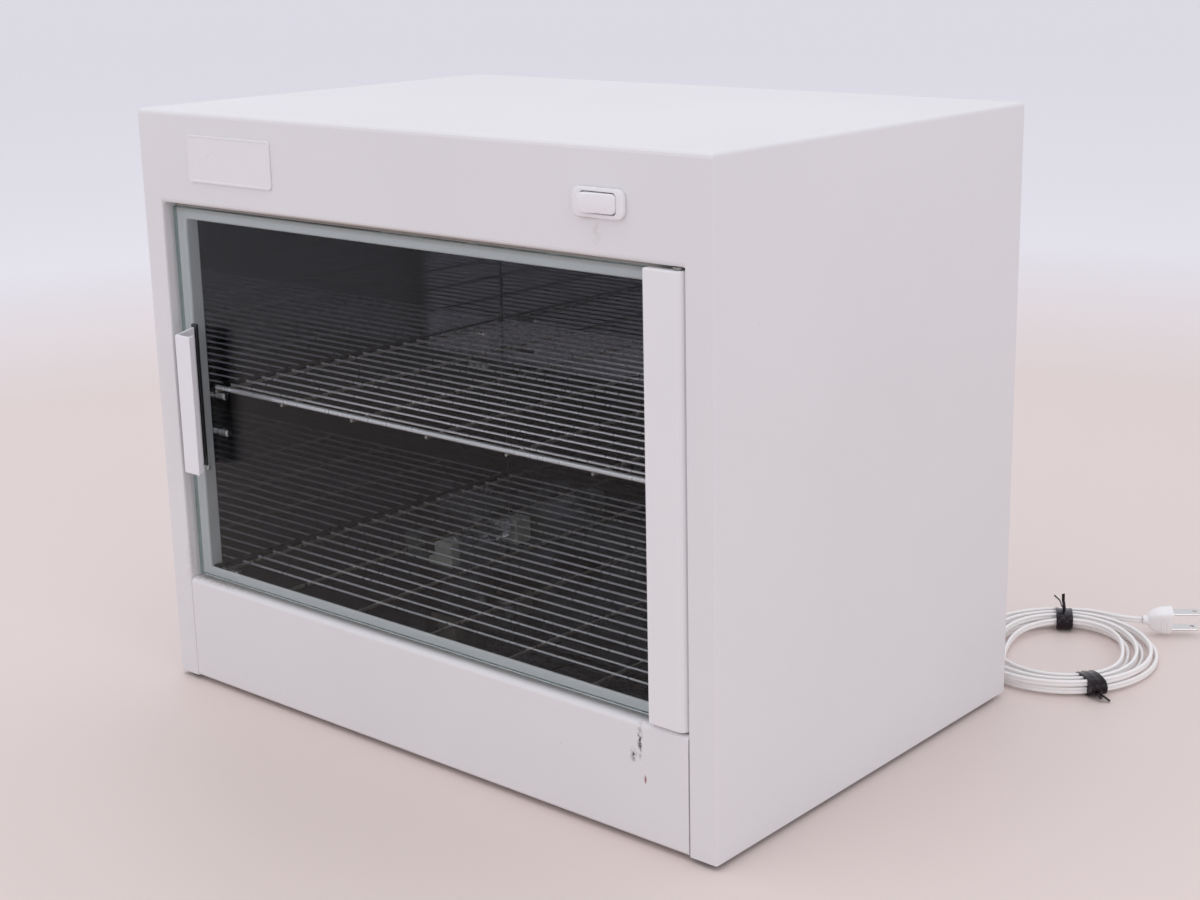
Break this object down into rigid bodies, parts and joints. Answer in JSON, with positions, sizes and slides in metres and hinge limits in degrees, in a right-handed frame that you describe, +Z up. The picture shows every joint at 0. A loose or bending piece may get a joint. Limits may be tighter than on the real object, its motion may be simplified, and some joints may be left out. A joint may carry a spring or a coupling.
{
  "type": "ultraviolet sterilizer cabinet",
  "caption": "Counter-top ultraviolet sterilizer cabinet: white steel casing, tinted glass door on a pin-hinged stile, polished chamber with wire shelves and lamp, rocker switch, coiled cord.",
  "frame": {"origin": "on the surface that the feet stand on, at the middle of the cabinet's box with its door pull and cord gland, without the free cord", "axes": "+X to the right as seen from the front, +Y to the back, +Z up"},
  "size_m": [0.4989, 0.4789, 0.366],
  "materials": {
    "white_enamel": "satin powder coat",
    "landing_enamel": "satin powder coat, bluish grey white",
    "grip_white": "gloss white enamel",
    "black_moulding": "satin black",
    "polished_liner": "mirror polished stainless sheet",
    "plated_wire": "bright plated wire",
    "plated_steel": "bright plated steel",
    "zinc_plate": "plain zinc-plated sheet",
    "lamp_cap": "drawn aluminium",
    "lamp_holder": "pale moulded plastic",
    "lamp_glass": "clear lamp glass",
    "tinted_glass": "smoke-grey tinted glass, polished edges",
    "plate_blank": "plain off-white plate, satin",
    "switch_white": "gloss white",
    "cord_white": "soft white sheath",
    "tie_black": "shiny black band",
    "terminal_moulding": "natural moulding"
  },
  "bodies": {
    "cabinet": {"ballast": "zinc_plate", "base_pan": "zinc_plate", "cord_coil": "cord_white", "cord_gland": "cord_white", "cord_tail": "cord_white", "fascia_plate": "plate_blank", "foot_front_left": "black_moulding", "foot_front_right": "black_moulding", "foot_rear_left": "black_moulding", "foot_rear_right": "black_moulding", "hinge_plate_lower": "zinc_plate", "hinge_plate_upper": "zinc_plate", "kick_panel": "white_enamel", "lamp_cap_front": "lamp_cap", "lamp_cap_rear": "lamp_cap", "lamp_holder_front": "lamp_holder", "lamp_holder_rear": "lamp_holder", "lamp_tube": "lamp_glass", "landing_frame": "landing_enamel", "liner_back": "polished_liner", "liner_ceiling": "polished_liner", "liner_floor": "polished_liner", "liner_left": "polished_liner", "liner_right": "polished_liner", "mains_cord": "cord_white", "outer_casing": "white_enamel", "peg_lower_front_left": "plated_steel", "peg_lower_front_right": "plated_steel", "peg_lower_rear_left": "plated_steel", "peg_lower_rear_right": "plated_steel", "peg_spare_front_left": "plated_steel", "peg_spare_front_right": "plated_steel", "peg_spare_rear_left": "plated_steel", "peg_spare_rear_right": "plated_steel", "peg_upper_front_left": "plated_steel", "peg_upper_front_right": "plated_steel", "peg_upper_rear_left": "plated_steel", "peg_upper_rear_right": "plated_steel", "plug_blade_lower": "plated_steel", "plug_blade_upper": "plated_steel", "plug_body": "cord_white", "rear_cover": "white_enamel", "switch_body": "switch_white", "terminal_block": "terminal_moulding", "tie_far": "tie_black", "tie_near": "tie_black"},
    "door": {"door_glass": "tinted_glass", "door_stile": "white_enamel", "door_pin_lower": "plated_steel", "door_pin_upper": "plated_steel", "handle_grip": "grip_white", "handle_base": "black_moulding"},
    "rocker": {"switch_rocker": "switch_white"},
    "upper_shelf_body": {"upper_shelf": "plated_wire"},
    "lower_shelf_body": {"lower_shelf": "plated_wire"}
  },
  "joints": [
    {"name": "door_hinge", "type": "hinge", "parent": "cabinet", "child": "door", "pos_m": [0.196, -0.1478, 0.19], "axis": [0, 0, 1], "range_deg": [0, 100]},
    {"name": "power_rocker", "type": "hinge", "parent": "cabinet", "child": "rocker", "pos_m": [0.1502, -0.1502, 0.3377], "axis": [0, 0, -1], "range_deg": [0, 14]},
    {"name": "upper_shelf_lift", "type": "slide", "parent": "cabinet", "child": "upper_shelf_body", "axis": [0, 0, 1], "range_m": [0, 0.012]},
    {"name": "lower_shelf_lift", "type": "slide", "parent": "cabinet", "child": "lower_shelf_body", "axis": [0, 0, 1], "range_m": [0, 0.012]}
  ]
}
